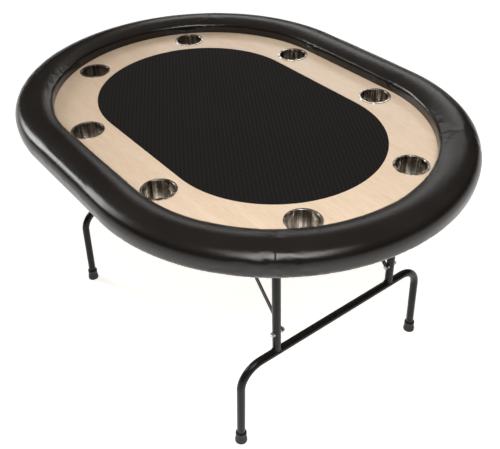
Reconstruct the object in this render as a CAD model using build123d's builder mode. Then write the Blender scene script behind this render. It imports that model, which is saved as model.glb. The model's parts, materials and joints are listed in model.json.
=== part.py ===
from build123d import *
import math
import os

# Folding poker table for ten seats: an oval playing surface with a wooden racetrack,
# eight drop-in cup holders, a padded armrest rail, and two folding steel leg frames.
# Frame: +X along the longest extent, +Z up, the origin on the floor under the centre.

os.makedirs("parts", exist_ok=True)

# ---------------------------------------------------------------- driving dimensions
# The plan is a stadium: two half circles joined by straights. A stadium radius is the
# distance from the line that joins the two arc centres.
half_straight = 193.5
play_radius = 327.0
track_radius = 463.0
rail_inner_radius = 463.5
rail_outer_radius = 578.5
base_radius = 556.0

play_height = 801.0
track_thickness = 18.0
base_thickness = 15.0
track_bottom = play_height - track_thickness
base_bottom = track_bottom - base_thickness

cup_radius = 45.0
cup_rim_radius = 50.8
cup_wall = 1.0
cup_depth = 64.0
cup_hole_radius = cup_radius + 1.0
cup_circle = 400.0
cup_straight_x = 200.0
cup_end_angle = 29.0

board_gap = 0.3
cloth_thickness = 1.0
field_board_thickness = 13.0

rail_crown = 44.0
inner_shoulder_radius = 14.0
crown_radius = 104.0
outer_wall_radius = 111.0
crown_rise_angle = 27.0
crown_fall_angle = 20.0
outer_wall_lean = 11.0
cover_thickness = 1.5
cover_turn_under = 530.0
ring_inner_radius = 468.0
rail_foot = track_bottom + 2.0
ring_thickness = 23.0

tube_radius = 12.7
tube_wall = 1.5
leg_x = 482.6
pivot_height = 710.0
crossbar_height = 301.6
foot_y = 374.4
foot_splay = 2.3
bow_bend_radius = 75.0
upright_y = 231.4
pivot_bar_half = 303.0
foot_floor = 6.0
cap_thickness = 2.5
cap_plug = 12.0
snug_gap = 0.1
cap_round = 1.5
boot_sole_radius = 19.0
boot_neck_radius = 15.8
boot_neck_height = 26.0
boot_collar_radius = 17.1
boot_height = 38.0

plate = 3.0
bracket_length = 64.0
bracket_inner_y = 247.0
bracket_width = 45.0
running_clearance = 0.05

brace_drop = 331.0
brace_reach = 306.0
link_width = 16.0
link_thickness = 3.0
lower_link_y = 212.4
upper_link_y = 207.8
brace_pin_radius = 4.0
rivet_radius = 3.0
rivet_head_radius = 5.5

# ------------------------------------------------------------------ worked-out values
rise = math.radians(crown_rise_angle)
fall = math.radians(crown_fall_angle)
lean = math.radians(outer_wall_lean)
rail_width = rail_outer_radius - rail_inner_radius
inner_part = inner_shoulder_radius * (1 - math.sin(rise))
crown_part = crown_radius * (math.sin(rise) + math.sin(fall))
outer_shoulder_radius = (rail_width - inner_part - crown_part) / (1 - math.sin(fall))
crown_start_drop = crown_radius * (1 - math.cos(rise))
crown_end_drop = crown_radius * (1 - math.cos(fall))
crown_height = play_height + rail_crown
shoulder_height = crown_height - crown_start_drop - inner_shoulder_radius * math.cos(rise)
widest_height = crown_height - crown_end_drop - outer_shoulder_radius * math.cos(fall)
cover_bottom = base_bottom - cover_thickness
skirt_height = widest_height - outer_wall_radius * math.sin(lean)
bottom_radius = (skirt_height - cover_bottom) / (1 - math.sin(lean))
foam_inset = cover_thickness + board_gap

# Each arc of the rail's section, from the inner wall over the crown to the underside,
# as its radius and the angle it turns through.
rail_turns = (
    (inner_shoulder_radius, 90 - crown_rise_angle),
    (crown_radius, crown_rise_angle + crown_fall_angle),
    (outer_shoulder_radius, 90 - crown_fall_angle),
    (outer_wall_radius, outer_wall_lean),
    (bottom_radius, 90 - outer_wall_lean),
)

cup_arc_x = half_straight + cup_circle * math.cos(math.radians(cup_end_angle))
cup_arc_y = cup_circle * math.sin(math.radians(cup_end_angle))
cup_centres = [
    (cup_arc_x, -cup_arc_y),
    (cup_arc_x, cup_arc_y),
    (cup_straight_x, cup_circle),
    (-cup_straight_x, cup_circle),
    (-cup_arc_x, cup_arc_y),
    (-cup_arc_x, -cup_arc_y),
    (-cup_straight_x, -cup_circle),
    (cup_straight_x, -cup_circle),
]

cloth_radius = play_radius - board_gap
cloth_top = play_height - 0.4
field_radius = cloth_radius - cloth_thickness - board_gap
field_foam_top = cloth_top - cloth_thickness

leg_ends = {"near": 1, "far": -1}
leg_sides = {"left": -1, "right": 1}
corners = [(end, side) for end in (1, -1) for side in (-1, 1)]
pivot_level = base_bottom - pivot_height

# The brace of an upright is a triangle: the leg pivot, the bolt on the upright a drop
# below it, and the pin under the table a reach inwards. Its two links fold flat.
brace_span = math.hypot(brace_drop, brace_reach)
lower_link_length = (brace_span + brace_drop - brace_reach) / 2
upper_link_length = (brace_span - brace_drop + brace_reach) / 2
brace_bolt_height = pivot_height - brace_drop
brace_pin_x = leg_x - brace_reach

# ------------------------------------------------------------------------ fasteners
rail_bolt_circle = 512.0
rail_bolt_radius = 3.0
rail_bolt_length = 30.0
rail_bolt_angles = (-60, -20, 20, 60)
deck_screw_radius = 2.2
deck_screw_length = 25.0
deck_screw_bore = 11.0
deck_screw_rings = ((344.0, 90.0), (250.0, 120.0))
deck_screw_angles = (-72, -24, 24, 72)
bracket_screw_radius = 2.2
bracket_screw_length = 13.0
screw_clearance = 0.2
bracket_screw_x = 23.0
pivot_screw_y = bracket_inner_y + bracket_width / 2
pivot_screw_spread = 9.0
brace_screw_y = 182.0
brace_screw_spread = 10.0
rail_bolt_head_radius = 5.8
rail_bolt_head = 4.0
deck_screw_head_radius = 4.2
deck_screw_head = 1.8
bracket_screw_head_radius = 4.4
bracket_screw_head = 2.4
brace_bolt_head_radius = 7.4
brace_bolt_head = 4.5
brace_nut = 6.0
brace_bolt_tip = 1.5
saddle_radius = 7.5
saddle_thickness = 3.0
pin_head_radius = 6.0
pin_tail = 2.0
pin_head = 1.0
pin_play = 0.2
rivet_tail = 1.1
rivet_head = 2.0

# Long enough to reach right through whatever a cut is made in.
cut_reach = 100.0


def around_stadium(radius, straight_x, angles):
    """Points on a stadium: some on each straight side and some on each end arc."""
    points = [(x, side * radius) for side in (-1, 1) for x in straight_x]
    for end in (-1, 1):
        for angle in angles:
            turn = math.radians(angle)
            along = half_straight + radius * math.cos(turn)
            points.append((end * along, radius * math.sin(turn)))
    return points


rail_bolt_points = around_stadium(rail_bolt_circle, (-150.0, 0.0, 150.0), rail_bolt_angles)
deck_screw_points = [
    point
    for radius, straight_x in deck_screw_rings
    for point in around_stadium(radius, (-straight_x, straight_x), deck_screw_angles)
]
bracket_screw_points = [
    (end * (x_centre + x), side * (y_centre + y))
    for end, side in corners
    for x_centre, y_centre, y_spread in (
        (leg_x, pivot_screw_y, pivot_screw_spread),
        (brace_pin_x, brace_screw_y, brace_screw_spread),
    )
    for x in (-bracket_screw_x, bracket_screw_x)
    for y in (-y_spread, y_spread)
]


# -------------------------------------------------------------------- shared shapes
def side_plane(x, y, z, facing=-1):
    """A plane seen from the side: local X is X, local Y is Z, its normal is along Y."""
    if facing < 0:
        return Plane(origin=(x, y, z), x_dir=(1, 0, 0), z_dir=(0, -1, 0))
    return Plane(origin=(x, y, z), x_dir=(-1, 0, 0), z_dir=(0, 1, 0))


def drill(points, radius, low, high):
    """Upright round holes in the part being built."""
    with Locations(*[(x, y, low) for x, y in points]):
        Cylinder(
            radius,
            high - low,
            align=(Align.CENTER, Align.CENTER, Align.MIN),
            mode=Mode.SUBTRACT,
        )


def stadium(radius, mode=Mode.ADD):
    """The table's plan outline at one stadium radius."""
    SlotCenterToCenter(2 * half_straight, 2 * radius, mode=mode)


def rail_outline(inset=0.0):
    """The rail's section, radius against height, from its inner foot round to the turn-under.

    It is a chain of arcs that run into each other, so an inset only shortens their radii.
    """
    foot = (rail_inner_radius + inset, rail_foot)
    Line(foot, (foot[0], shoulder_height))
    point = Vector(rail_inner_radius, shoulder_height)
    heading = 90.0
    for radius, turn in rail_turns:
        course = math.radians(heading)
        centre = point + Vector(math.sin(course), -math.cos(course)) * radius
        CenterArc(centre, radius - inset, heading + 90, -turn)
        heading -= turn
        course = math.radians(heading)
        point = centre + Vector(-math.sin(course), math.cos(course)) * radius
    Line((point.X, point.Y + inset), (cover_turn_under, point.Y + inset))


def section_plane(centre_x, angle):
    """An upright plane through an arc centre, local X outwards and local Y up."""
    outward = (math.cos(math.radians(angle)), math.sin(math.radians(angle)), 0)
    return Plane(origin=(centre_x, 0, 0), x_dir=outward, z_dir=(outward[1], -outward[0], 0))


# ---------------------------------------------------------------------- table boards
with BuildPart() as base_board:
    with BuildSketch(Plane.XY.offset(base_bottom)):
        stadium(base_radius)
        with Locations(*cup_centres):
            Circle(cup_hole_radius, mode=Mode.SUBTRACT)
    extrude(amount=base_thickness)
    drill(rail_bolt_points, rail_bolt_radius + screw_clearance, base_bottom, track_bottom)
    drill(deck_screw_points, deck_screw_radius + screw_clearance, base_bottom, track_bottom)
    drill(
        bracket_screw_points,
        bracket_screw_radius,
        base_bottom,
        base_bottom + bracket_screw_length - plate,
    )
base_board.part.label = "base_board"
export_step(base_board.part, "parts/base_board.step")

with BuildPart() as racetrack:
    with BuildSketch(Plane.XY.offset(track_bottom)):
        stadium(track_radius)
        stadium(play_radius, mode=Mode.SUBTRACT)
        with Locations(*cup_centres):
            Circle(cup_hole_radius, mode=Mode.SUBTRACT)
    extrude(amount=track_thickness)
    drill(deck_screw_points, deck_screw_radius, track_bottom, track_bottom + deck_screw_bore)
racetrack.part.label = "racetrack"
export_step(racetrack.part, "parts/racetrack.step")

with BuildPart() as play_field_board:
    with BuildSketch(Plane.XY.offset(track_bottom)):
        stadium(field_radius)
    extrude(amount=field_board_thickness)
    drill(deck_screw_points, deck_screw_radius, track_bottom, track_bottom + deck_screw_bore)
play_field_board.part.label = "play_field_board"
export_step(play_field_board.part, "parts/play_field_board.step")

with BuildPart() as play_field_foam:
    with BuildSketch(Plane.XY.offset(track_bottom + field_board_thickness)):
        stadium(field_radius)
    extrude(amount=field_foam_top - track_bottom - field_board_thickness)
play_field_foam.part.label = "play_field_foam"
export_step(play_field_foam.part, "parts/play_field_foam.step")

# The cloth is stretched over the field and turned down its edge into the racetrack.
with BuildPart() as speed_cloth:
    with BuildSketch(Plane.XY.offset(track_bottom + 2.0)):
        stadium(cloth_radius)
    extrude(amount=cloth_top - track_bottom - 2.0)
    with BuildSketch(Plane.XY.offset(track_bottom)):
        stadium(cloth_radius - cloth_thickness)
    extrude(amount=field_foam_top - track_bottom, mode=Mode.SUBTRACT)
speed_cloth.part.label = "speed_cloth"
export_step(speed_cloth.part, "parts/speed_cloth.step")

# ---------------------------------------------------------------------- cup holders
rim_top = 1.6
for number, (cup_x, cup_y) in enumerate(cup_centres, 1):
    with BuildPart() as cup_holder:
        with BuildSketch(side_plane(cup_x, cup_y, play_height)):
            with BuildLine():
                wall = FilletPolyline(
                    (0, cup_wall - cup_depth),
                    (cup_radius - cup_wall, cup_wall - cup_depth),
                    (cup_radius - cup_wall, rim_top),
                    (cup_rim_radius, rim_top),
                    (cup_rim_radius, 0),
                    (cup_radius, 0),
                    (cup_radius, -cup_depth),
                    (0, -cup_depth),
                    radius=(5.0, 1.0, 0.7, 0.7, 0.5, 6.0),
                )
                Line(wall @ 1, wall @ 0)
            make_face()
        revolve(axis=Axis((cup_x, cup_y, 0), (0, 0, 1)))
    cup_holder.part.label = f"cup_holder_{number}"
    export_step(cup_holder.part, f"parts/cup_holder_{number}.step")

# ----------------------------------------------------------------------- rail pieces
with BuildPart() as rail_ring:
    with BuildSketch(Plane.XY.offset(track_bottom)):
        stadium(base_radius)
        stadium(ring_inner_radius, mode=Mode.SUBTRACT)
    extrude(amount=ring_thickness)
    drill(
        rail_bolt_points,
        rail_bolt_radius,
        track_bottom,
        track_bottom + rail_bolt_length - base_thickness,
    )
rail_ring.part.label = "rail_ring"
export_step(rail_ring.part, "parts/rail_ring.step")

# A stretch of rail is made from end arcs (which end, start angle, turn) and straights
# (which side). The foam is laid in short blocks round each bend, with a long block along
# each straight. The vinyl cover is sewn from four panels.
near_seams = (-39.0, 45.5)
end_turn = near_seams[1] - near_seams[0]
late_turn = 90 - near_seams[1]
early_turn = 90 + near_seams[0]
foam_blocks = 12
foam_block_turn = 180 / foam_blocks
foam_gap_turn = 0.06
foam_half_straight = half_straight - 0.5
cover_panels = (
    (((1, near_seams[0], end_turn),), ()),
    (((1, near_seams[1], late_turn), (-1, 90, early_turn)), (1,)),
    (((-1, near_seams[0] + 180, end_turn),), ()),
    (((-1, near_seams[1] + 180, late_turn), (1, 270, early_turn)), (-1,)),
)
wood_top = track_bottom + ring_thickness
wood_middle = (ring_inner_radius + base_radius) / 2
wood_width = base_radius - ring_inner_radius + 2 * board_gap

with BuildSketch() as foam_section:
    with BuildLine():
        rail_outline(foam_inset)
        Polyline(
            (cover_turn_under, cover_bottom + foam_inset),
            (cover_turn_under, rail_foot),
            (rail_inner_radius + foam_inset, rail_foot),
        )
    make_face()
    with Locations((wood_middle, wood_top)):
        Rectangle(wood_width, cut_reach, align=(Align.CENTER, Align.MAX), mode=Mode.SUBTRACT)

with BuildPart() as rail_foam:
    for end in (-1, 1):
        for block in range(foam_blocks):
            start = -end * 90 + block * foam_block_turn
            with BuildSketch(section_plane(end * half_straight, start)):
                add(foam_section.sketch)
            revolve(
                axis=Axis((end * half_straight, 0, 0), (0, 0, 1)),
                revolution_arc=foam_block_turn - foam_gap_turn,
            )
    for side in (-1, 1):
        with BuildSketch(section_plane(side * foam_half_straight, side * 90)):
            add(foam_section.sketch)
        extrude(amount=-2 * foam_half_straight)
rail_foam.part.label = "rail_foam"
export_step(rail_foam.part, "parts/rail_foam.step")

with BuildSketch() as cover_section:
    with BuildLine():
        rail_outline()
        rail_outline(cover_thickness)
        for x, y, dx, dy in (
            (rail_inner_radius, rail_foot, cover_thickness, 0),
            (cover_turn_under, cover_bottom, 0, cover_thickness),
        ):
            Line((x, y), (x + dx, y + dy))
    make_face()

for number, (arcs, straights) in enumerate(cover_panels, 1):
    with BuildPart() as rail_cover:
        for end, start, turn in arcs:
            with BuildSketch(section_plane(end * half_straight, start)):
                add(cover_section.sketch)
            revolve(axis=Axis((end * half_straight, 0, 0), (0, 0, 1)), revolution_arc=turn)
        for side in straights:
            with BuildSketch(section_plane(side * half_straight, side * 90)):
                add(cover_section.sketch)
            extrude(amount=-2 * half_straight)
    rail_cover.part.label = f"rail_cover_{number}"
    export_step(rail_cover.part, f"parts/rail_cover_{number}.step")

# ------------------------------------------------------------------------- fasteners
with BuildPart() as rail_bolts:
    with BuildSketch(Plane.XY.offset(base_bottom - rail_bolt_head)):
        with Locations(*rail_bolt_points):
            RegularPolygon(rail_bolt_head_radius, 6)
    extrude(amount=rail_bolt_head)
    with BuildSketch(Plane.XY.offset(base_bottom)):
        with Locations(*rail_bolt_points):
            Circle(rail_bolt_radius)
    extrude(amount=rail_bolt_length)
rail_bolts.part.label = "rail_bolts"
export_step(rail_bolts.part, "parts/rail_bolts.step")

with BuildPart() as deck_screws:
    with BuildSketch(Plane.XY.offset(base_bottom)):
        with Locations(*deck_screw_points):
            Circle(deck_screw_radius)
    extrude(amount=deck_screw_length)
    with Locations(*[(x, y, base_bottom) for x, y in deck_screw_points]):
        Cylinder(
            deck_screw_head_radius,
            deck_screw_head,
            align=(Align.CENTER, Align.CENTER, Align.MAX),
        )
deck_screws.part.label = "deck_screws"
export_step(deck_screws.part, "parts/deck_screws.step")

with BuildPart() as bracket_screws:
    with BuildSketch(Plane.XY.offset(base_bottom - plate)):
        with Locations(*bracket_screw_points):
            Circle(bracket_screw_radius)
    extrude(amount=bracket_screw_length)
    with Locations(*[(x, y, base_bottom - plate) for x, y in bracket_screw_points]):
        Cylinder(
            bracket_screw_head_radius,
            bracket_screw_head,
            align=(Align.CENTER, Align.CENTER, Align.MAX),
        )
bracket_screws.part.label = "bracket_screws"
export_step(bracket_screws.part, "parts/bracket_screws.step")

# -------------------------------------------------------------------------- brackets
# A pivot bracket is an upturned channel: its web is screwed under the base board and
# its two cheeks carry the pivot bar of a leg frame.
cheek_radius = 21.0
web_drop = 14.0
bracket_bend = 6.0
for number, (end, side) in enumerate(corners, 1):
    across = Plane(
        origin=(end * leg_x - bracket_length / 2, side * pivot_screw_y, base_bottom),
        x_dir=(0, 1, 0),
        z_dir=(1, 0, 0),
    )
    cheek_side = side_plane(end * leg_x, side * pivot_screw_y, base_bottom)
    with BuildPart() as pivot_bracket:
        with BuildSketch(across):
            with BuildLine():
                FilletPolyline(
                    (-bracket_width / 2, -pivot_level - cheek_radius),
                    (-bracket_width / 2, 0),
                    (bracket_width / 2, 0),
                    (bracket_width / 2, -pivot_level - cheek_radius),
                    radius=bracket_bend,
                )
                offset(amount=plate, side=Side.RIGHT)
            make_face()
        extrude(amount=bracket_length)
        with BuildSketch(cheek_side):
            Rectangle(bracket_length, web_drop, align=(Align.CENTER, Align.MAX))
            with Locations((0, -pivot_level)):
                Circle(cheek_radius)
            make_hull()
        extrude(amount=cut_reach, both=True, mode=Mode.INTERSECT)
        with BuildSketch(cheek_side):
            with Locations((0, -pivot_level)):
                Circle(tube_radius + running_clearance)
        extrude(amount=cut_reach, both=True, mode=Mode.SUBTRACT)
        drill(
            bracket_screw_points,
            bracket_screw_radius + screw_clearance,
            base_bottom - plate,
            base_bottom,
        )
    pivot_bracket.part.label = f"pivot_bracket_{number}"
    export_step(pivot_bracket.part, f"parts/pivot_bracket_{number}.step")

# A brace bracket is an angle: its flange is screwed under the base board and its lug
# hangs down to the pin of the upper link.
lug_y = upper_link_y - board_gap
lug_radius = 11.0
flange_inner_y = 165.0
flange_drop = 10.0
for number, (end, side) in enumerate(corners, 1):
    across = Plane(
        origin=(end * brace_pin_x - bracket_length / 2, 0, base_bottom),
        x_dir=(0, 1, 0),
        z_dir=(1, 0, 0),
    )
    lug_side = side_plane(end * brace_pin_x, side * lug_y, base_bottom)
    with BuildPart() as brace_bracket:
        with BuildSketch(across):
            with BuildLine():
                FilletPolyline(
                    (side * flange_inner_y, 0),
                    (side * lug_y, 0),
                    (side * lug_y, -pivot_level - lug_radius),
                    radius=bracket_bend,
                )
                offset(amount=plate, side=Side.RIGHT if side > 0 else Side.LEFT)
            make_face()
        extrude(amount=bracket_length)
        with BuildSketch(lug_side):
            Rectangle(bracket_length, flange_drop, align=(Align.CENTER, Align.MAX))
            with Locations((0, -pivot_level)):
                Circle(lug_radius)
            make_hull()
        extrude(amount=cut_reach, both=True, mode=Mode.INTERSECT)
        with BuildSketch(lug_side):
            with Locations((0, -pivot_level)):
                Circle(brace_pin_radius)
        extrude(amount=cut_reach, both=True, mode=Mode.SUBTRACT)
        drill(
            bracket_screw_points,
            bracket_screw_radius + screw_clearance,
            base_bottom - plate,
            base_bottom,
        )
    brace_bracket.part.label = f"brace_bracket_{number}"
    export_step(brace_bracket.part, f"parts/brace_bracket_{number}.step")

pin_inner_y = lug_y - plate
pin_outer_y = upper_link_y + link_thickness + pin_play
with BuildPart() as brace_pins:
    for end, side in corners:
        for radius, low_y, high_y in (
            (pin_head_radius, pin_inner_y - pin_tail, pin_inner_y),
            (brace_pin_radius, pin_inner_y, pin_outer_y),
            (pin_head_radius, pin_outer_y, pin_outer_y + pin_head),
        ):
            with BuildSketch(side_plane(end * brace_pin_x, side * low_y, pivot_height, side)):
                Circle(radius)
            extrude(amount=high_y - low_y)
brace_pins.part.label = "brace_pins"
export_step(brace_pins.part, "parts/brace_pins.step")

# ------------------------------------------------------------------------ leg frames
splay = math.tan(math.radians(foot_splay))
corner_y = foot_y - crossbar_height * splay
tube_end_y = foot_y - foot_floor * splay

for end_name, end in leg_ends.items():
    frame_x = end * leg_x

    with BuildPart() as pivot_bar:
        with BuildSketch(side_plane(frame_x, pivot_bar_half, pivot_height)):
            Circle(tube_radius)
            Circle(tube_radius - tube_wall, mode=Mode.SUBTRACT)
        extrude(amount=2 * pivot_bar_half)
    pivot_bar.part.label = f"pivot_bar_{end_name}"
    export_step(pivot_bar.part, f"parts/pivot_bar_{end_name}.step")

    with BuildPart() as pivot_bar_caps:
        for side in (-1, 1):
            with BuildSketch(side_plane(frame_x, side * pivot_bar_half, pivot_height, side)):
                Circle(tube_radius)
            extrude(amount=cap_thickness)
            with BuildSketch(side_plane(frame_x, side * pivot_bar_half, pivot_height, side)):
                Circle(tube_radius - tube_wall - snug_gap)
            extrude(amount=-cap_plug)
        fillet(pivot_bar_caps.edges().group_by(Axis.Y)[0], radius=cap_round)
        fillet(pivot_bar_caps.edges().group_by(Axis.Y)[-1], radius=cap_round)
    pivot_bar_caps.part.label = f"pivot_bar_caps_{end_name}"
    export_step(pivot_bar_caps.part, f"parts/pivot_bar_caps_{end_name}.step")

    # The foot bow is one bent tube: both feet and the crossbar between them.
    with BuildPart() as foot_bow:
        with BuildLine() as bow_path:
            FilletPolyline(
                (frame_x, -tube_end_y, foot_floor),
                (frame_x, -corner_y, crossbar_height),
                (frame_x, corner_y, crossbar_height),
                (frame_x, tube_end_y, foot_floor),
                radius=bow_bend_radius,
            )
        with BuildSketch(Plane(origin=bow_path.line @ 0, z_dir=bow_path.line % 0)):
            Circle(tube_radius)
            Circle(tube_radius - tube_wall, mode=Mode.SUBTRACT)
        sweep(path=bow_path.line)
    foot_bow.part.label = f"foot_bow_{end_name}"
    export_step(foot_bow.part, f"parts/foot_bow_{end_name}.step")

    for side_name, side in leg_sides.items():
        # An upright is coped over the crossbar below and the pivot bar above.
        with BuildPart() as upright:
            with BuildSketch(Plane((frame_x, side * upright_y, crossbar_height))):
                Circle(tube_radius)
                Circle(tube_radius - tube_wall, mode=Mode.SUBTRACT)
            extrude(amount=pivot_height - crossbar_height)
            for height, radius in (
                (crossbar_height, tube_radius),
                (pivot_height, tube_radius),
                (brace_bolt_height, brace_pin_radius + snug_gap),
            ):
                with BuildSketch(side_plane(frame_x, side * upright_y, height)):
                    Circle(radius)
                extrude(amount=2 * tube_radius, both=True, mode=Mode.SUBTRACT)
        upright.part.label = f"upright_{end_name}_{side_name}"
        export_step(upright.part, f"parts/upright_{end_name}_{side_name}.step")

        # A rubber foot is a flared boot with a collar, level where it meets the floor.
        leg_line = Plane(
            origin=(frame_x, side * foot_y, 0),
            x_dir=(1, 0, 0),
            z_dir=(0, -side * splay, 1),
        )
        foot_axis = Axis((frame_x, side * foot_y, 0), (0, -side * splay, 1))
        with BuildPart() as rubber_foot:
            with BuildSketch(Plane(leg_line.origin, x_dir=leg_line.x_dir, z_dir=-leg_line.y_dir)):
                with BuildLine():
                    boot = FilletPolyline(
                        (0, -foot_floor),
                        (boot_sole_radius, -foot_floor),
                        (boot_sole_radius, foot_floor),
                        (boot_neck_radius, boot_neck_height),
                        (boot_collar_radius, boot_neck_height + 2.5),
                        (boot_collar_radius, boot_height),
                        (tube_radius, boot_height),
                        radius=(0.3, 2.0, 1.5, 1.0, 1.5),
                    )
                    Polyline(boot @ 1, (tube_radius, foot_floor), (0, foot_floor), boot @ 0)
                make_face()
            revolve(axis=foot_axis)
            split(bisect_by=Plane.XY, keep=Keep.TOP)
        rubber_foot.part.label = f"rubber_foot_{end_name}_{side_name}"
        export_step(rubber_foot.part, f"parts/rubber_foot_{end_name}_{side_name}.step")

    # A bolt through each upright carries the lower link between a saddle washer and a nut.
    washer_y = lower_link_y + link_thickness + board_gap
    nut_y = lower_link_y - board_gap
    tip_y = nut_y - brace_nut - brace_bolt_tip
    head_y = upright_y + tube_radius + saddle_thickness
    with BuildPart() as brace_bolts:
        for side in (-1, 1):
            with BuildSketch(side_plane(frame_x, side * washer_y, brace_bolt_height, side)):
                Circle(saddle_radius)
            extrude(amount=head_y - washer_y)
            with BuildSketch(side_plane(frame_x, side * head_y, brace_bolt_height, side)):
                RegularPolygon(brace_bolt_head_radius, 6)
            extrude(amount=brace_bolt_head)
            with BuildSketch(Plane((frame_x, side * upright_y, brace_bolt_height))):
                Circle(tube_radius)
            extrude(amount=cut_reach, both=True, mode=Mode.SUBTRACT)
            with BuildSketch(side_plane(frame_x, side * nut_y, brace_bolt_height, -side)):
                RegularPolygon(brace_bolt_head_radius, 6)
            extrude(amount=brace_nut)
            with BuildSketch(side_plane(frame_x, side * tip_y, brace_bolt_height, side)):
                Circle(brace_pin_radius)
            extrude(amount=head_y - tip_y)
    brace_bolts.part.label = f"brace_bolts_{end_name}"
    export_step(brace_bolts.part, f"parts/brace_bolts_{end_name}.step")

    # -------------------------------------------------------------------- brace links
    # Local X of a link's plane runs along the brace, from the upright up to the table.
    up_brace = Vector(-end * brace_reach, 0, brace_drop).normalized()
    bolt_point = Vector(frame_x, 0, brace_bolt_height)
    elbow_point = bolt_point + up_brace * lower_link_length
    for side_name, side in leg_sides.items():
        face_along = Vector(0, side, 0)
        lower_plane = Plane(
            origin=bolt_point + face_along * lower_link_y, x_dir=up_brace, z_dir=face_along
        )
        upper_plane = Plane(
            origin=elbow_point + face_along * upper_link_y, x_dir=up_brace, z_dir=face_along
        )

        with BuildPart() as brace_lower:
            with BuildSketch(lower_plane):
                with Locations((lower_link_length / 2, 0)):
                    SlotCenterToCenter(lower_link_length, link_width)
                Circle(brace_pin_radius + running_clearance, mode=Mode.SUBTRACT)
                with Locations((lower_link_length, 0)):
                    Circle(rivet_radius, mode=Mode.SUBTRACT)
            extrude(amount=link_thickness)
        brace_lower.part.label = f"brace_lower_{end_name}_{side_name}"
        export_step(brace_lower.part, f"parts/brace_lower_{end_name}_{side_name}.step")

        # The elbow rivet is held in the lower link and stops short of the upper one.
        with BuildPart() as elbow_rivet:
            for radius, low, high in (
                (rivet_head_radius, -rivet_tail, 0),
                (rivet_radius, 0, link_thickness),
                (rivet_head_radius, link_thickness, link_thickness + rivet_head),
            ):
                with BuildSketch(lower_plane.offset(low)):
                    with Locations((lower_link_length, 0)):
                        Circle(radius)
                extrude(amount=high - low)
        elbow_rivet.part.label = f"elbow_rivet_{end_name}_{side_name}"
        export_step(elbow_rivet.part, f"parts/elbow_rivet_{end_name}_{side_name}.step")

        with BuildPart() as brace_upper:
            with BuildSketch(upper_plane):
                with Locations((upper_link_length / 2, 0)):
                    SlotCenterToCenter(upper_link_length, link_width)
                with Locations((upper_link_length, 0)):
                    Circle(brace_pin_radius + running_clearance, mode=Mode.SUBTRACT)
            extrude(amount=link_thickness)
            with BuildSketch(upper_plane):
                Circle(rivet_head_radius)
            extrude(amount=-rivet_head)
        brace_upper.part.label = f"brace_upper_{end_name}_{side_name}"
        export_step(brace_upper.part, f"parts/brace_upper_{end_name}_{side_name}.step")
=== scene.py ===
import bpy
import bmesh
import json
import math
from mathutils import Matrix, Vector, noise


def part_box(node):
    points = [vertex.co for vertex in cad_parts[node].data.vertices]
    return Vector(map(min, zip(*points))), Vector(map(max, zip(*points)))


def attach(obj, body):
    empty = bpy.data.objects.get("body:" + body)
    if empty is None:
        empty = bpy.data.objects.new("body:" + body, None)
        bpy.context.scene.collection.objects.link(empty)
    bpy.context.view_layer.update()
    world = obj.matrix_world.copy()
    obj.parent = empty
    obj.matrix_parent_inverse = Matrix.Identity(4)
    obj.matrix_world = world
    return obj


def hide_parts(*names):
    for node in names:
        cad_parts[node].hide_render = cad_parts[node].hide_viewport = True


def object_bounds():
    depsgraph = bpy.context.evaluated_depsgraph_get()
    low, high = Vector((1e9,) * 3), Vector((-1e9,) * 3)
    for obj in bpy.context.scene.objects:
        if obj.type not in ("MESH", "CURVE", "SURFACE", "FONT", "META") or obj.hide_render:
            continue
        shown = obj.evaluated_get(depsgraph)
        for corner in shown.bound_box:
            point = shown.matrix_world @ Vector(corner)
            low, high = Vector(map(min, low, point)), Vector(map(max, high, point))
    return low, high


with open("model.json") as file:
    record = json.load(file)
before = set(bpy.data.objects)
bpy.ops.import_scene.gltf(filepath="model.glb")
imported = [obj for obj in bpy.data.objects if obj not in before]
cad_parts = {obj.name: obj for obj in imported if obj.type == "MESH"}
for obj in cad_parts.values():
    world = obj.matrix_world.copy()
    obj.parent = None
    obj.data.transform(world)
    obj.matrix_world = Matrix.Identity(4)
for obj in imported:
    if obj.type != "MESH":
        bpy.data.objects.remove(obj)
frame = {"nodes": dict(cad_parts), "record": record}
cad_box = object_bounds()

# Folding poker table. Metres, +X along the table, +Z up, the floor at zero.

NODES = frame["nodes"]
TABLE = "table_top"
LEGS = {"near": "near_leg", "far": "far_leg"}

# ------------------------------------------------------------------ sizes from the frame
size_x = cad_box[1][0] - cad_box[0][0]
size_y = cad_box[1][1] - cad_box[0][1]
HALF = (size_x - size_y) / 2             # half the straight side of the oval
RAIL_OUT = size_y / 2                    # stadium radius of the rail's widest line
WOOD_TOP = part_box("racetrack")[1][2]
TRACK_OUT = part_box("racetrack")[1][1]
CLOTH_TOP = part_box("speed_cloth")[1][2]
CLOTH_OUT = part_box("speed_cloth")[1][1]
CLOTH_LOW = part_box("speed_cloth")[0][2]
BOARD_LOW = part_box("base_board")[0][2]
RAIL_TOP = cad_box[1][2]


# ------------------------------------------------------------------------ mesh helpers
def new_object(name, mesh, body, smooth=True):
    """Links a mesh as a piece that rides on a body."""
    piece = bpy.data.objects.new(name, mesh)
    bpy.context.scene.collection.objects.link(piece)
    if smooth:
        mesh.shade_smooth()
    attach(piece, body)
    return piece


def grid_mesh(name, rows, closed_rows=False, closed_columns=False):
    """A mesh from a grid of points: rows of equal length."""
    height, width = len(rows), len(rows[0])
    verts = [point for row in rows for point in row]
    faces = []
    for i in range(height if closed_rows else height - 1):
        for j in range(width if closed_columns else width - 1):
            a, b = i * width + j, i * width + (j + 1) % width
            c, d = (i + 1) % height * width + (j + 1) % width, (i + 1) % height * width + j
            faces.append((a, b, c, d))
    mesh = bpy.data.meshes.new(name)
    mesh.from_pydata(verts, [], faces)
    mesh.update()
    return mesh


def apply_modifiers(piece):
    """Bakes a piece's modifiers into its mesh."""
    graph = bpy.context.evaluated_depsgraph_get()
    baked = bpy.data.meshes.new_from_object(piece.evaluated_get(graph))
    piece.modifiers.clear()
    piece.data = baked


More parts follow.
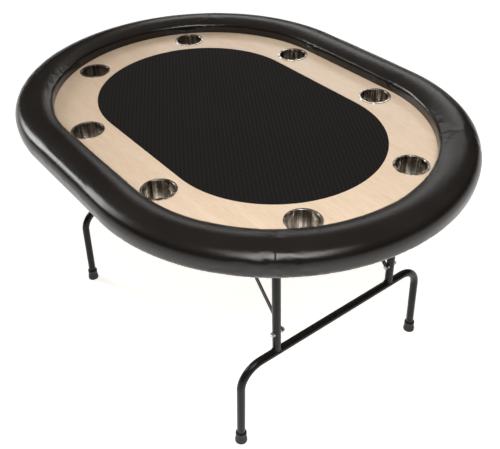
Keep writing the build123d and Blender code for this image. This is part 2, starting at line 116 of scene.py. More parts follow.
def smooth_step(low, high, value):
    """0 below low, 1 above high, and a smooth ramp between them."""
    t = min(max((value - low) / (high - low), 0.0), 1.0)
    return t * t * (3 - 2 * t)


# --------------------------------------------------------------------- material helpers
def material(name, base, roughness, **sockets):
    """A principled material. Returns the material, its node tree and its shader."""
    mat = bpy.data.materials.new(name)
    mat.use_nodes = True
    tree = mat.node_tree
    shader = tree.nodes["Principled BSDF"]
    shader.inputs["Base Color"].default_value = (*base, 1)
    shader.inputs["Roughness"].default_value = roughness
    for socket, value in sockets.items():
        shader.inputs[socket.replace("_", " ")].default_value = value
    return mat, tree, shader


def add_node(tree, kind, **settings):
    """A node with its settings and unlinked inputs given by name."""
    node = tree.nodes.new("ShaderNode" + kind)
    for key, value in settings.items():
        if hasattr(node, key):
            setattr(node, key, value)
        else:
            node.inputs[key.replace("_", " ")].default_value = value
    return node


def place(tree, scale=(1, 1, 1)):
    """Object coordinates, stretched by a scale."""
    where = add_node(tree, "TexCoord")
    mapping = add_node(tree, "Mapping")
    mapping.inputs["Scale"].default_value = scale
    tree.links.new(where.outputs["Object"], mapping.inputs["Vector"])
    return mapping.outputs["Vector"]


def noise_at(tree, vector, scale, detail=3.0, roughness=0.5):
    """Noise from 0 to 1 at a place."""
    node = add_node(tree, "TexNoise", Scale=scale, Detail=detail, Roughness=roughness)
    tree.links.new(vector, node.inputs["Vector"])
    return node.outputs["Fac"]


def ramp(tree, value, stops):
    """A colour ramp: stops are (position, colour or grey)."""
    node = add_node(tree, "ValToRGB")
    elements = node.color_ramp.elements
    while len(elements) < len(stops):
        elements.new(0.5)
    for element, (position, colour) in zip(elements, stops):
        element.position = position
        grey = isinstance(colour, (int, float))
        element.color = (colour, colour, colour, 1) if grey else (*colour, 1)
    tree.links.new(value, node.inputs["Fac"])
    return node.outputs["Color"]


def spread(tree, value, low, high):
    """Maps 0..1 onto low..high."""
    node = add_node(tree, "MapRange")
    node.inputs["To Min"].default_value = low
    node.inputs["To Max"].default_value = high
    tree.links.new(value, node.inputs["Value"])
    return node.outputs["Result"]


def bump(tree, shader, layers):
    """Chains bumps into the shader's normal: layers are (height, strength, distance)."""
    last = None
    for height, strength, distance in layers:
        node = add_node(tree, "Bump", Strength=strength, Distance=distance)
        tree.links.new(height, node.inputs["Height"])
        if last is not None:
            tree.links.new(last, node.inputs["Normal"])
        last = node.outputs["Normal"]
    tree.links.new(last, shader.inputs["Normal"])


def mixed(tree, factor, low, high, blend="MIX"):
    """A colour mix; low and high are colours or sockets."""
    node = add_node(tree, "Mix", data_type="RGBA", blend_type=blend)
    if isinstance(factor, (int, float)):
        node.inputs["Factor"].default_value = factor
    else:
        tree.links.new(factor, node.inputs["Factor"])
    for socket, value in ((node.inputs[6], low), (node.inputs[7], high)):
        if isinstance(value, tuple):
            socket.default_value = (*value, 1)
        else:
            tree.links.new(value, socket)
    return node.outputs[2]


# ---------------------------------------------------------------------------- materials
def make_vinyl():
    """Black leatherette: fine pebble grain, a satin film, and slight cloudiness."""
    mat, tree, shader = material("rail_vinyl", (0.012, 0.0105, 0.0095), 0.36)
    shader.inputs["Specular IOR Level"].default_value = 0.45
    at = place(tree)
    cloud = noise_at(tree, at, 9.0, 2.0)
    colour = ramp(tree, cloud, ((0.3, (0.0050, 0.0038, 0.0030)),
                                (0.75, (0.0100, 0.0078, 0.0062))))
    tree.links.new(colour, shader.inputs["Base Color"])
    scuff = noise_at(tree, at, 60.0, 4.0, 0.65)
    tree.links.new(spread(tree, scuff, 0.17, 0.27), shader.inputs["Roughness"])
    cells = add_node(tree, "TexVoronoi", feature="DISTANCE_TO_EDGE", Scale=900.0)
    tree.links.new(at, cells.inputs["Vector"])
    pebble = ramp(tree, cells.outputs["Distance"], ((0.0, 0.0), (0.35, 1.0)))
    bump(tree, shader, ((pebble, 0.22, 0.00025), (noise_at(tree, at, 420.0, 3.0), 0.10, 0.0003)))
    return mat


def make_veneer(name, light, dark, streak):
    """Pale sliced veneer: long grain along X, faint figure, and a satin lacquer."""
    mat, tree, shader = material(name, light, 0.38)
    shader.inputs["Coat Weight"].default_value = 0.25
    shader.inputs["Coat Roughness"].default_value = 0.22
    figure = noise_at(tree, place(tree, (0.9, 7.0, 7.0)), 3.0, 3.0, 0.55)
    grain = noise_at(tree, place(tree, (6.0, 170.0, 170.0)), 3.2, 5.0, 0.6)
    pores = noise_at(tree, place(tree, (45.0, 1500.0, 1500.0)), 1.0, 2.0, 0.5)
    base = ramp(tree, figure, ((0.25, dark), (0.7, light)))
    lines = ramp(tree, grain, ((0.30, streak), (0.62, (1.0, 1.0, 1.0))))
    fibre = ramp(tree, pores, ((0.30, (0.88, 0.86, 0.83)), (0.55, (1.0, 1.0, 1.0))))
    toned = mixed(tree, 1.0, base, lines, "MULTIPLY")
    tree.links.new(mixed(tree, 1.0, toned, fibre, "MULTIPLY"), shader.inputs["Base Color"])
    tree.links.new(spread(tree, grain, 0.32, 0.46), shader.inputs["Roughness"])
    bump(tree, shader, ((grain, 0.05, 0.0004), (pores, 0.06, 0.0002)))
    return mat


def make_plywood():
    """Bare plywood: broad figure, patches and open grain."""
    mat, tree, shader = material("plywood", (0.42, 0.30, 0.18), 0.72)
    figure = noise_at(tree, place(tree, (1.6, 9.0, 9.0)), 4.0, 4.0, 0.6)
    grain = noise_at(tree, place(tree, (8.0, 260.0, 260.0)), 2.5, 5.0, 0.65)
    base = ramp(tree, figure, ((0.25, (0.33, 0.215, 0.12)), (0.5, (0.46, 0.33, 0.20)),
                               (0.8, (0.54, 0.41, 0.27))))
    lines = ramp(tree, grain, ((0.28, (0.66, 0.58, 0.50)), (0.6, (1.0, 1.0, 1.0))))
    tree.links.new(mixed(tree, 1.0, base, lines, "MULTIPLY"), shader.inputs["Base Color"])
    tree.links.new(spread(tree, grain, 0.62, 0.82), shader.inputs["Roughness"])
    bump(tree, shader, ((grain, 0.25, 0.0006),))
    return mat


LOZENGE_TURN = 58                       # degrees from +X to each set of the cloth's bands


def make_cloth():
    """Black speed cloth: a fine weave with a small woven lozenge, and a soft sheen."""
    mat, tree, shader = material("speed_cloth", (0.018, 0.017, 0.016), 0.75)
    shader.inputs["Sheen Weight"].default_value = 0.025
    shader.inputs["Specular IOR Level"].default_value = 0.12
    shader.inputs["Sheen Roughness"].default_value = 0.45
    shader.inputs["Sheen Tint"].default_value = (0.75, 0.72, 0.70, 1)
    threads = {}
    for name, across in (("warp", "X"), ("weft", "Y")):
        wave = add_node(tree, "TexWave", bands_direction=across, Scale=260.0, Distortion=0.6,
                        Detail=1.0)
        tree.links.new(place(tree), wave.inputs["Vector"])
        threads[name] = wave.outputs["Fac"]
    weave = add_node(tree, "Math", operation="MULTIPLY")
    tree.links.new(threads["warp"], weave.inputs[0])
    tree.links.new(threads["weft"], weave.inputs[1])
    # Lozenges: two sets of diagonal bands that cross.
    bands = []
    for turn in (LOZENGE_TURN, -LOZENGE_TURN):
        where = add_node(tree, "TexCoord")
        mapping = add_node(tree, "Mapping")
        mapping.inputs["Rotation"].default_value = (0, 0, math.radians(turn))
        tree.links.new(where.outputs["Object"], mapping.inputs["Vector"])
        wave = add_node(tree, "TexWave", bands_direction="X", Scale=27.0)
        tree.links.new(mapping.outputs["Vector"], wave.inputs["Vector"])
        bands.append(ramp(tree, wave.outputs["Fac"], ((0.55, 0.0), (0.8, 1.0))))
    lozenge = mixed(tree, 1.0, bands[0], bands[1], "MULTIPLY")
    nap = noise_at(tree, place(tree), 700.0, 2.0)
    dust = ramp(tree, nap, ((0.35, (0.0060, 0.0052, 0.0048)), (0.75, (0.0115, 0.0101, 0.0094))))
    shown = mixed(tree, lozenge, dust, (0.0150, 0.0138, 0.0130))
    tree.links.new(shown, shader.inputs["Base Color"])
    tree.links.new(spread(tree, lozenge, 0.80, 0.58), shader.inputs["Roughness"])
    bump(tree, shader, ((weave.outputs["Value"], 0.25, 0.0003), (nap, 0.25, 0.0003)))
    return mat


def make_brushed_steel():
    """Drawn stainless steel: upright streaks down the wall, from broad bands of painted
    reflection, dark and near-white, to fine brushing lines.
    """
    mat, tree, shader = material("cup_steel", (0.70, 0.66, 0.60), 0.22, Metallic=1.0)
    shader.inputs["Anisotropic"].default_value = 0.5
    # Painted reflection: bands masks upright streaks, and tone paints them dark and near-white
    # into the steel's colour in place of reflected surroundings.
    bands = noise_at(tree, place(tree, (1.0, 1.0, 0.03)), 62.0, 2.0, 0.55)
    lines = noise_at(tree, place(tree, (1.0, 1.0, 0.01)), 900.0, 3.0, 0.6)
    tone = ramp(tree, bands, ((0.36, (0.16, 0.135, 0.11)), (0.47, (0.50, 0.46, 0.41)),
                              (0.52, (0.98, 0.95, 0.90)), (0.60, (0.42, 0.385, 0.34))))
    fine = ramp(tree, lines, ((0.3, (0.82, 0.82, 0.82)), (0.7, (1.0, 1.0, 1.0))))
    tree.links.new(mixed(tree, 1.0, tone, fine, "MULTIPLY"), shader.inputs["Base Color"])
    tree.links.new(spread(tree, lines, 0.16, 0.30), shader.inputs["Roughness"])
    bump(tree, shader, ((lines, 0.08, 0.0002),))
    return mat


def make_black_steel():
    """Gloss black powder coat with a slight orange peel."""
    mat, tree, shader = material("black_steel", (0.011, 0.011, 0.012), 0.24)
    shader.inputs["Coat Weight"].default_value = 0.06
    shader.inputs["Coat Roughness"].default_value = 0.10
    shader.inputs["Specular IOR Level"].default_value = 0.16
    at = place(tree)
    peel = noise_at(tree, at, 330.0, 2.0)
    wear = noise_at(tree, at, 26.0, 5.0, 0.7)
    tone = ramp(tree, wear, ((0.35, (0.005, 0.005, 0.0055)), (0.72, (0.011, 0.011, 0.0115))))
    tree.links.new(tone, shader.inputs["Base Color"])
    tree.links.new(spread(tree, wear, 0.20, 0.34), shader.inputs["Roughness"])
    bump(tree, shader, ((peel, 0.16, 0.0006),))
    return mat


def make_rubber():
    """Matt black rubber, dusty towards the floor."""
    mat, tree, shader = material("foot_rubber", (0.014, 0.014, 0.014), 0.62)
    at = place(tree)
    grain = noise_at(tree, at, 900.0, 3.0)
    dust = noise_at(tree, at, 70.0, 4.0, 0.7)
    tone = ramp(tree, dust, ((0.35, (0.010, 0.010, 0.010)), (0.75, (0.026, 0.026, 0.025))))
    tree.links.new(tone, shader.inputs["Base Color"])
    tree.links.new(spread(tree, dust, 0.52, 0.74), shader.inputs["Roughness"])
    bump(tree, shader, ((grain, 0.25, 0.0004),))
    return mat


def make_plastic():
    """Moulded black plastic with a fine spark-eroded texture."""
    mat, tree, shader = material("cap_plastic", (0.015, 0.015, 0.016), 0.48)
    at = place(tree)
    grain = noise_at(tree, at, 1500.0, 2.0)
    tree.links.new(spread(tree, grain, 0.42, 0.56), shader.inputs["Roughness"])
    bump(tree, shader, ((grain, 0.2, 0.0003),))
    return mat


def make_zinc():
    """Bright zinc plate, a little mottled."""
    mat, tree, shader = material("zinc_fasteners", (0.60, 0.60, 0.575), 0.33, Metallic=1.0)
    at = place(tree)
    mottle = noise_at(tree, at, 240.0, 4.0, 0.6)
    tone = ramp(tree, mottle, ((0.3, (0.50, 0.50, 0.47)), (0.7, (0.68, 0.68, 0.66))))
    tree.links.new(tone, shader.inputs["Base Color"])
    tree.links.new(spread(tree, mottle, 0.26, 0.44), shader.inputs["Roughness"])
    bump(tree, shader, ((mottle, 0.1, 0.0002),))
    return mat


def make_foam():
    """Grey open-cell foam."""
    mat, tree, shader = material("foam", (0.30, 0.30, 0.28), 0.95)
    cells = add_node(tree, "TexVoronoi", Scale=900.0)
    tree.links.new(place(tree), cells.inputs["Vector"])
    tone = ramp(tree, cells.outputs["Distance"], ((0.1, (0.20, 0.20, 0.19)),
                                                  (0.6, (0.36, 0.36, 0.34))))
    tree.links.new(tone, shader.inputs["Base Color"])
    bump(tree, shader, ((cells.outputs["Distance"], 0.5, 0.0006),))
    return mat


MATERIALS = {
    "plywood": make_plywood(),
    "racetrack_wood": make_veneer("racetrack_wood", (0.94, 0.76, 0.58), (0.86, 0.675, 0.50),
                                  (0.90, 0.86, 0.81)),
    "speed_cloth": make_cloth(),
    "foam": make_foam(),
    "rail_vinyl": make_vinyl(),
    "cup_steel": make_brushed_steel(),
    "black_steel": make_black_steel(),
    "foot_rubber": make_rubber(),
    "cap_plastic": make_plastic(),
    "zinc_fasteners": make_zinc(),
}
SLOT_OF = {entry["node"]: entry["material_slot"] for entry in frame["record"]["subparts"]}


def dress_cad_nodes():
    """Every carried-over CAD node gets the material of its own slot."""
    for name, node in NODES.items():
        node.data.materials.clear()
        node.data.materials.append(MATERIALS[SLOT_OF[name]])


# ------------------------------------------------------------------------- the oval plan
def oval_point(centre_x, angle, radius, height=0.0):
    """A point at a stadium radius, out from an arc centre or a place on the straight."""
    turn = math.radians(angle)
    return Vector((centre_x + radius * math.cos(turn), radius * math.sin(turn), height))


def stations(start, stop, radius, step):
    """Places round the oval, anticlockwise, as (centre x, outward angle, running length).

    start and stop are in degrees from +X on the end arcs. The run passes a straight where it
    crosses 90 or 270 degrees.
    """
    places, run = [], 0.0
    corners = [start] + [turn for turn in (90.0, 270.0) if start < turn < stop] + [stop]
    for begin, end in zip(corners, corners[1:]):
        centre = HALF if (begin + end) / 2 % 360 < 90 or (begin + end) / 2 % 360 > 270 else -HALF
        length = math.radians(end - begin) * radius
        count = max(1, round(length / step))
        for k in range(count + 1):
            if k == 0 and places and begin in (90.0, 270.0):
                continue
            places.append((centre, begin + (end - begin) * k / count, run + length * k / count))
        run += length
        if end in (90.0, 270.0) and end != stop:
            count = round(2 * HALF / step)
            for k in range(1, count + 1):
                places.append((centre * (1 - 2 * k / count), end, run + 2 * HALF * k / count))
            run += 2 * HALF
    return places


# ----------------------------------------------------------------------------- the rail
# The section: each arc's radius and turn, from the inner wall over to the underside.
RAIL_FOOT = WOOD_TOP - 0.016
RAIL_IN = TRACK_OUT + 0.0005
SHOULDER_RADIUS = 0.014
CROWN_RADIUS = 0.104
WALL_RADIUS = 0.111
CROWN_RISE, CROWN_FALL, WALL_LEAN = 27.0, 20.0, 11.0
COVER = 0.0015                          # the vinyl's thickness
TURN_UNDER = 0.530                      # stadium radius where the cover's hidden edge ends
SEAMS = (-39.0, 45.5, 141.0, 225.5, 321.0)      # degrees round the end arcs
rise, fall, lean = (math.radians(turn) for turn in (CROWN_RISE, CROWN_FALL, WALL_LEAN))
outer_shoulder = (
    RAIL_OUT - RAIL_IN - SHOULDER_RADIUS * (1 - math.sin(rise))
    - CROWN_RADIUS * (math.sin(rise) + math.sin(fall))
) / (1 - math.sin(fall))
shoulder_height = RAIL_TOP - CROWN_RADIUS * (1 - math.cos(rise)) - SHOULDER_RADIUS * math.cos(rise)
widest_height = RAIL_TOP - CROWN_RADIUS * (1 - math.cos(fall)) - outer_shoulder * math.cos(fall)
skirt_height = widest_height - WALL_RADIUS * math.sin(lean)
bottom_radius = (skirt_height - BOARD_LOW + COVER) / (1 - math.sin(lean))
RAIL_ARCS = (
    (SHOULDER_RADIUS, 90 - CROWN_RISE),
    (CROWN_RADIUS, CROWN_RISE + CROWN_FALL),
    (outer_shoulder, 90 - CROWN_FALL),
    (WALL_RADIUS, WALL_LEAN),
    (bottom_radius, 90 - WALL_LEAN),
)


def rail_section(step):
    """The rail's outline as (radius, height, outward normal, running length)."""
    points = []

    def run_on(r, z, normal):
        last = points[-1] if points else None
        run = last[3] + math.hypot(r - last[0], z - last[1]) if last else 0.0
        points.append((r, z, normal, run))

    count = max(2, round((shoulder_height - RAIL_FOOT) / step))
    for k in range(count):
        run_on(RAIL_IN, RAIL_FOOT + (shoulder_height - RAIL_FOOT) * k / count, (-1.0, 0.0))
    r, z, heading = RAIL_IN, shoulder_height, 90.0
    for radius, turn in RAIL_ARCS:
        course = math.radians(heading)
        centre = (r + radius * math.sin(course), z - radius * math.cos(course))
        count = max(4, round(math.radians(turn) * radius / step))
        for k in range(count):
            course = math.radians(heading - turn * k / count)
            normal = (-math.sin(course), math.cos(course))
            run_on(centre[0] + radius * normal[0], centre[1] + radius * normal[1], normal)
        heading -= turn
        course = math.radians(heading)
        r, z = centre[0] - radius * math.sin(course), centre[1] + radius * math.cos(course)
    count = max(2, round((r - TURN_UNDER) / step))
    for k in range(count + 1):
        run_on(r + (TURN_UNDER - r) * k / count, z, (0.0, -1.0))
    return points


def wobble(point, scale, seed):
    """Smooth noise between about -1 and 1 at a size, in metres."""
    return noise.noise(point / scale + Vector((seed, seed * 1.7, -seed)))


def refine(path, count):
    """The same path with each stretch cut into equal shares."""
    fine = [path[0]]
    for begin, end in zip(path, path[1:]):
        for k in range(1, count + 1):
            fine.append(tuple(b + (e - b) * k / count for b, e in zip(begin, end)))
    return fine


def panel_rows(path, section, lift_at):
    """The grid of a panel, moved off its plain section along the outward normal."""
    rows = []
    for place in path:
        centre_x, angle, along = place
        row = []
        for spot in section:
            radius, height, normal, around = spot
            lift = lift_at(place, spot)
            row.append(oval_point(centre_x, angle, radius + normal[0] * lift,
                                  height + normal[1] * lift))
        rows.append(row)
    return rows


PUFF_LIMIT = 0.00045                    # the furthest a panel may stand off its section
SIM_FRAMES = 18
HELD_INNER = 2                          # columns held along the inner edge, beside the racetrack
HELD_UNDER = 5                          # columns held along the staples
CLOTH_SETTINGS = {
    "quality": 6,
    "mass": 0.35,
    "tension_stiffness": 30,
    "compression_stiffness": 30,
    "shear_stiffness": 12,
    "bending_stiffness": 2.0,
    "air_damping": 4,
    "vertex_group_mass": "held",
    "shrink_min": -0.004,
    "use_pressure": True,
    "uniform_pressure_force": 1.5,
}


def puff_panel(number, path, section):
    """Simulates a panel held at its seams and staples with the foam pressing behind it.

    Returns how far each point of the coarse grid comes to stand off the plain section.
    """
    rows = panel_rows(path, section, lambda place, spot: 0.0)
    mesh = grid_mesh(f"sim_{number}", rows)
    mesh.flip_normals()
    cloth = bpy.data.objects.new(f"sim_{number}", mesh)
    bpy.context.scene.collection.objects.link(cloth)
    width = len(section)
    held = cloth.vertex_groups.new(name="held")
    held.add([i * width + j for i in range(len(path)) for j in range(width)
              if i in (0, len(path) - 1) or j < HELD_INNER or j >= width - HELD_UNDER],
             1.0, "REPLACE")
    modifier = cloth.modifiers.new("cloth", "CLOTH")
    for setting, value in CLOTH_SETTINGS.items():
        setattr(modifier.settings, setting, value)
    modifier.settings.effector_weights.gravity = 0.0
    modifier.collision_settings.use_collision = False
    modifier.point_cache.frame_start = 1
    modifier.point_cache.frame_end = SIM_FRAMES
    for step in range(1, SIM_FRAMES + 1):
        bpy.context.scene.frame_set(step)
    graph = bpy.context.evaluated_depsgraph_get()
    settled = cloth.evaluated_get(graph).data.vertices
    field = []
    for i, (centre_x, angle, along) in enumerate(path):
        turn = math.radians(angle)
        row = []
        for j, (radius, height, normal, around) in enumerate(section):
            outward = Vector((math.cos(turn) * normal[0], math.sin(turn) * normal[0], normal[1]))
            moved = (settled[i * width + j].co - rows[i][j]).dot(outward)
            row.append(PUFF_LIMIT * math.tanh(moved / PUFF_LIMIT))
        field.append(row)
    bpy.context.scene.frame_set(1)
    bpy.data.objects.remove(cloth)
    return field


def curve_through(values, place_at):
    """A smooth curve through evenly counted values, read at a fractional index."""
    last = len(values) - 1
    index = min(int(place_at), last - 1)
    t = place_at - index
    before, here = values[max(index - 1, 0)], values[index]
    after, beyond = values[index + 1], values[min(index + 2, last)]
    return here + 0.5 * t * (after - before + t * (
        2 * before - 5 * here + 4 * after - beyond + t * (3 * (here - after) + beyond - before)))


SOFT_HEIGHT, SOFT_SIZE = 0.0004, 0.13           # broad unevenness of the foam
DIMPLE_HEIGHT, DIMPLE_SIZE = 0.00012, 0.035
GROOVE_DEPTH, GROOVE_WIDTH = 0.0008, 0.0013     # the sewn seam
PUCKER_HEIGHT, PUCKER_REACH, PUCKER_PITCH = 0.00016, 0.012, 0.016
GATHER_PITCH = 0.019                            # gathers where the cover goes round a bend
GATHER_TOP, GATHER_UNDER = 0.00010, 0.0006
GATHER_ON_STRAIGHT = 0.15                       # their share where the cover lies straight
LOW_WALL = 0.022                                # the gathers fade out this far up the inner wall
UNDER_BAND = (0.060, 0.026)                     # and fade in this far before the hidden edge


def rail_detail(place, spot, total, section_length):
    """Seam, puckers and gathers that are finer than the simulated cloth, in metres."""
    centre_x, angle, along = place
    radius, height, normal, around = spot
    at = oval_point(centre_x, angle, radius, height)
    seam = min(along, total - along)
    soft = SOFT_HEIGHT * wobble(at, SOFT_SIZE, 3.1) + DIMPLE_HEIGHT * wobble(at, DIMPLE_SIZE, 8.3)
    groove = -GROOVE_DEPTH * math.exp(-((seam / GROOVE_WIDTH) ** 2))
    phase = around * 2 * math.pi / PUCKER_PITCH + 6.0 * wobble(at, 0.05, 5.5)
    pucker = PUCKER_HEIGHT * math.exp(-seam / PUCKER_REACH) * math.sin(phase)
    bent = 1.0 if abs(centre_x) == HALF else GATHER_ON_STRAIGHT
    low_wall = 1 - smooth_step(0.0, LOW_WALL, around)
    under = smooth_step(section_length - UNDER_BAND[0], section_length - UNDER_BAND[1], around)
    flow = along * 2 * math.pi / GATHER_PITCH + 5.0 * wobble(at, 0.07, 1.9)
    ripple = math.sin(flow) * (0.6 + 0.4 * wobble(at, 0.09, 6.6))
    return soft + groove + pucker + bent * ripple * (GATHER_TOP * low_wall + GATHER_UNDER * under)


def index_among(knots, value):
    """Where a value falls among rising knots, as a fractional index."""
    index = min(max(sum(1 for knot in knots if knot <= value) - 1, 0), len(knots) - 2)
    return index + (value - knots[index]) / (knots[index + 1] - knots[index])


def row_between(field, place_at):
    """The row of a grid of values at a fractional index."""
    index = int(place_at)
    near_rows = [field[min(max(index + k, 0), len(field) - 1)] for k in (-1, 0, 1, 2)]
    return [curve_through(column, 1 + place_at - index) for column in zip(*near_rows)]


COARSE_ALONG, COARSE_AROUND = 0.0105, 0.0085    # the simulated grid
FINE_ALONG_SHARES, FINE_AROUND = 3, 0.0036      # the shown grid
SEAM_STEPS, SEAM_SHARES = 3, 6                  # extra stations that keep the groove smooth


def make_rail_panel(number, start, stop, extra_nodes):
    """One sewn panel of the rail cover. Extra nodes are the hidden foam that it stands for."""
    coarse_path = stations(start, stop, RAIL_OUT, COARSE_ALONG)
    coarse_section = rail_section(COARSE_AROUND)
    field = puff_panel(number, coarse_path, coarse_section)
    path = refine(coarse_path, FINE_ALONG_SHARES)
    total = path[-1][2]
    path = (refine(path[:SEAM_STEPS + 1], SEAM_SHARES)[:-1] + path[SEAM_STEPS:-SEAM_STEPS]
            + refine(path[-SEAM_STEPS - 1:], SEAM_SHARES)[1:])
    section = rail_section(FINE_AROUND)
    knots = [spot[3] for spot in coarse_section]
    runs = [place[2] for place in coarse_path]
    column_of = {spot[3]: index_among(knots, min(spot[3], knots[-1])) for spot in section}
    row_of = {place[2]: row_between(field, index_among(runs, min(place[2], runs[-1])))
              for place in path}

    def lift_at(place, spot):
        puff = curve_through(row_of[place[2]], column_of[spot[3]])
        return puff + rail_detail(place, spot, total, section[-1][3])

    mesh = grid_mesh(f"rail_panel_{number}", panel_rows(path, section, lift_at))
    mesh.flip_normals()
    piece = new_object(f"rail_panel_{number}", mesh, TABLE)
    mesh.materials.append(MATERIALS["rail_vinyl"])
    shell = piece.modifiers.new("skin", "SOLIDIFY")
    shell.thickness = COVER
    shell.offset = -1
    apply_modifiers(piece)
    piece.data.shade_smooth()
    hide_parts(f"rail_cover_{number}", *extra_nodes)


# ---------------------------------------------------------------------- the speed cloth
CLOTH_EDGE = 0.0016                     # radius of the roll over the edge
CLOTH_WAVE = 0.00012                    # height of its unevenness over the foam
SKIRT_LOW = 0.6                         # where the middle ring of the skirt lies
FLAT_SHARES = (0.99, 0.96, 0.9, 0.8, 0.65, 0.5, 0.35, 0.2, 0.1, 0.0)


def make_speed_cloth():
    """The stretched cloth: flat over the foam, rolled over the edge and down the side."""
    path = stations(0.0, 360.0, CLOTH_OUT, 0.008)[:-1]
    skirt = CLOTH_TOP - CLOTH_LOW
    rings = []
    for depth in (skirt, skirt * SKIRT_LOW, CLOTH_EDGE):
        rings.append((CLOTH_OUT, CLOTH_TOP - depth))
    for k in range(1, 6):
        turn = math.radians(90 * k / 5)
        rings.append((CLOTH_OUT - CLOTH_EDGE * (1 - math.cos(turn)),
                      CLOTH_TOP - CLOTH_EDGE * (1 - math.sin(turn))))
    inner = CLOTH_OUT - CLOTH_EDGE
    for share in FLAT_SHARES:
        rings.append((inner * share, CLOTH_TOP))
    rows = [[oval_point(centre_x, angle, radius, height) for centre_x, angle, along in path]
            for radius, height in rings]
    for row, (radius, height) in zip(rows, rings):
        for point in row:
            if height == CLOTH_TOP:
                point.z += CLOTH_WAVE * wobble(point, 0.09, 2.2)
    mesh = grid_mesh("speed_cloth_sheet", rows, closed_columns=True)
    bm = bmesh.new()
    bm.from_mesh(mesh)
    bmesh.ops.remove_doubles(bm, verts=bm.verts, dist=0.00002)
    bmesh.ops.recalc_face_normals(bm, faces=bm.faces)
    if sum(face.normal.z * face.calc_area() for face in bm.faces) < 0:
        bmesh.ops.reverse_faces(bm, faces=bm.faces)
    bm.to_mesh(mesh)
    bm.free()
    piece = new_object("speed_cloth_sheet", mesh, TABLE)
    mesh.materials.append(MATERIALS["speed_cloth"])
    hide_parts("speed_cloth")


# --------------------------------------------------------------------- welds and staples
UPRIGHT_HEADING = 0.05                  # a course this near to upright takes its side from X


def tube_along(points, radius_at, sides=8, closed=True):
    """Rows of a round bead that follows a loop or line of points."""
    rows = []
    count = len(points)
    for k, point in enumerate(points):
        before = points[(k - 1) % count] if closed or k else point
        after = points[(k + 1) % count] if closed or k < count - 1 else point
        heading = (after - before).normalized()
        side = heading.cross(Vector((0, 0, 1)))
        if side.length <= UPRIGHT_HEADING:
            side = heading.cross(Vector((1, 0, 0)))
        side = side.normalized()
        lift = side.cross(heading).normalized()
        radius = radius_at(k / count)
        rows.append([point + side * radius * math.cos(2 * math.pi * n / sides)
                     + lift * radius * math.sin(2 * math.pi * n / sides) for n in range(sides)])
    return rows


BEAD_POINTS = 72
BEAD_STAND = 0.0006                     # how far its middle stands off both tubes
BEAD_RADIUS, BEAD_RIPPLE = 0.0019, 0.00035
RIPPLE_TURN = 210.0                     # radians of ripple round a bead


def make_welds(end):
    """Rippled beads where the uprights meet the crossbar and the pivot bar."""
    merged = bmesh.new()
    for side in ("left", "right"):
        low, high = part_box(f"upright_{end}_{side}")
        middle = (Vector(low) + Vector(high)) / 2
        radius = (high[0] - low[0]) / 2
        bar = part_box(f"pivot_bar_{end}")
        pivot_z = (bar[0][2] + bar[1][2]) / 2
        bow_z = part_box(f"foot_bow_{end}")[1][2] - radius
        for level, way in ((bow_z, 1), (pivot_z, -1)):
            points = []
            for k in range(BEAD_POINTS):
                turn = 2 * math.pi * k / BEAD_POINTS
                saddle = level + way * (radius * abs(math.sin(turn)) + BEAD_STAND)
                points.append(Vector((middle.x + (radius + BEAD_STAND) * math.cos(turn),
                                      middle.y + (radius + BEAD_STAND) * math.sin(turn), saddle)))
            bead = tube_along(
                points, lambda share: BEAD_RADIUS + BEAD_RIPPLE * math.sin(share * RIPPLE_TURN))
            mesh = grid_mesh("bead", bead, closed_rows=True, closed_columns=True)
            merged.from_mesh(mesh)
            bpy.data.meshes.remove(mesh)
    bmesh.ops.recalc_face_normals(merged, faces=merged.faces)
    mesh = bpy.data.meshes.new(f"weld_beads_{end}")
    merged.to_mesh(mesh)
    merged.free()
    new_object(f"weld_beads_{end}", mesh, LEGS[end])
    mesh.materials.append(MATERIALS["black_steel"])


STAPLE_PITCH = 0.030
STAPLE_SKEW = 14                        # degrees that a staple may lie off the edge
# A staple from leg to leg: a share of the half crown, and the height above the crown's wire.
STAPLE_SHAPE = ((-1.0, 0.0016), (-1.0, 0.0002), (-0.9, 0.0), (0.9, 0.0), (1.0, 0.0002),
                (1.0, 0.0016))


def make_staples():
    """Staples that hold the cover's turned-under edge to the base board."""
    merged = bmesh.new()
    wire, crown, inset = 0.0006, 0.0055, 0.0045
    for centre_x, angle, along in stations(0.0, 360.0, TURN_UNDER + inset, STAPLE_PITCH)[:-1]:
        centre = oval_point(centre_x, angle, TURN_UNDER + inset, BOARD_LOW - COVER - wire * 0.5)
        turn = math.radians(angle + 90 + STAPLE_SKEW * wobble(centre, 0.04, 7.7))
        along_way = Vector((math.cos(turn), math.sin(turn), 0))
        points = [centre + along_way * crown * share + Vector((0, 0, rise_by))
                  for share, rise_by in STAPLE_SHAPE]
        mesh = grid_mesh("staple", tube_along(points, lambda share: wire, 6, False),
                         closed_columns=True)
        merged.from_mesh(mesh)
        bpy.data.meshes.remove(mesh)
    bmesh.ops.recalc_face_normals(merged, faces=merged.faces)
    mesh = bpy.data.meshes.new("cover_staples")
    merged.to_mesh(mesh)
    merged.free()
    new_object("cover_staples", mesh, TABLE)
    mesh.materials.append(MATERIALS["zinc_fasteners"])


# ------------------------------------------------------------------- floor, light, camera
FLOOR_HALF = 30.0
FLOOR_GLOW = 0.62                       # lifts the floor to the white of a studio sweep


def make_floor():
    """The white floor that the table stands on."""
    mesh = bpy.data.meshes.new("floor")
    bm = bmesh.new()
    bmesh.ops.create_grid(bm, x_segments=2, y_segments=2, size=FLOOR_HALF)
    bm.to_mesh(mesh)
    bm.free()
    floor = bpy.data.objects.new("floor", mesh)
    bpy.context.scene.collection.objects.link(floor)
    mat, tree, shader = material("floor", (0.93, 0.93, 0.93), 0.9)
    shader.inputs["Specular IOR Level"].default_value = 0.1
    shader.inputs["Emission Color"].default_value = (1, 1, 1, 1)
    shader.inputs["Emission Strength"].default_value = FLOOR_GLOW
    mesh.materials.append(mat)


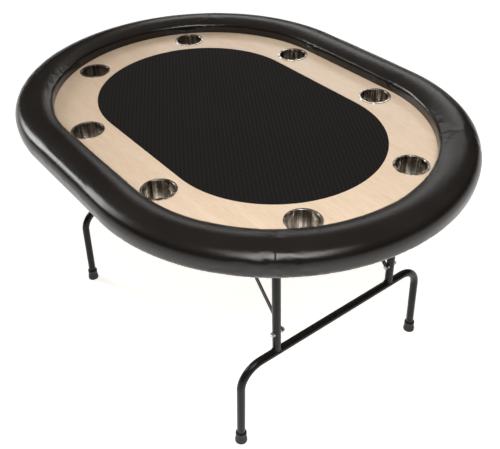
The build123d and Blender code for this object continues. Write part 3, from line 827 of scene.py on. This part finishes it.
def make_light(name, place_at, aim, size, power):
    """A rectangular softbox. Size in metres, power in watts."""
    data = bpy.data.lights.new(name, "AREA")
    data.shape = "RECTANGLE"
    data.size, data.size_y = size
    data.energy = power
    light = bpy.data.objects.new(name, data)
    bpy.context.scene.collection.objects.link(light)
    light.location = place_at
    light.rotation_euler = (Vector(aim) - Vector(place_at)).to_track_quat("-Z", "Y").to_euler()


CAMERA_AT = (1.6024, -1.1371, 1.8947)
CAMERA_TURNS = (2.507, 0.662, -0.034)   # yaw from +X, pitch down and roll, in radians
LENS_MM, SENSOR_MM = 52.06, 36.0


def make_camera():
    """The camera stands off the +X, -Y corner and looks down on the table."""
    yaw, pitch, roll = CAMERA_TURNS
    forward = Vector((math.cos(pitch) * math.cos(yaw), math.cos(pitch) * math.sin(yaw),
                      -math.sin(pitch)))
    level = Vector((math.sin(yaw), -math.cos(yaw), 0))
    up = level.cross(forward)
    right = level * math.cos(roll) + up * math.sin(roll)
    top = up * math.cos(roll) - level * math.sin(roll)
    data = bpy.data.cameras.new("camera")
    data.sensor_width = SENSOR_MM
    data.lens = LENS_MM
    camera = bpy.data.objects.new("camera", data)
    bpy.context.scene.collection.objects.link(camera)
    axes = Matrix((right, top, -forward)).transposed().to_4x4()
    axes.translation = CAMERA_AT
    camera.matrix_world = axes
    bpy.context.scene.camera = camera


def make_sun(name, azimuth, elevation, spread_angle, strength):
    """A very wide soft source far away, like a big diffuser. Angles in degrees."""
    data = bpy.data.lights.new(name, "SUN")
    data.energy = strength
    data.angle = math.radians(spread_angle)
    light = bpy.data.objects.new(name, data)
    bpy.context.scene.collection.objects.link(light)
    turn, up = math.radians(azimuth), math.radians(elevation)
    toward = Vector((math.cos(turn) * math.cos(up), math.sin(turn) * math.cos(up), math.sin(up)))
    light.rotation_euler = (-toward).to_track_quat("-Z", "Y").to_euler()


def make_studio():
    """A world that is dark low down and warm grey above, a sun and two softboxes."""
    world = bpy.data.worlds.new("studio")
    bpy.context.scene.world = world
    world.use_nodes = True
    tree = world.node_tree
    where = add_node(tree, "TexCoord")
    parts = add_node(tree, "SeparateXYZ")
    tree.links.new(where.outputs["Generated"], parts.inputs[0])
    sky = ramp(tree, parts.outputs["Z"], ((0.0, (0.015, 0.014, 0.014)),
                                          (0.30, (0.05, 0.046, 0.042)),
                                          (0.75, (0.30, 0.27, 0.24))))
    tree.links.new(sky, tree.nodes["Background"].inputs["Color"])
    bpy.context.scene.view_settings.view_transform = "Standard"
    make_sun("left_diffuser", azimuth=203, elevation=24, spread_angle=22, strength=1.3)
    make_light("near_softbox", (1.5, -0.9, 2.5), aim=(0.4, -0.1, 0.8), size=(1.2, 1.2), power=40)
    make_light("back_strip", (-1.6, 1.9, 1.9), aim=(-0.1, 0.2, 0.8), size=(2.4, 0.5), power=8)


# -------------------------------------------------------------------------- the assembly
make_camera()
dress_cad_nodes()
for index in range(4):
    foam = ("rail_foam",) if index == 0 else ()
    make_rail_panel(index + 1, SEAMS[index], SEAMS[index + 1], foam)
make_speed_cloth()
for end in LEGS:
    make_welds(end)
make_staples()
make_floor()
make_studio()
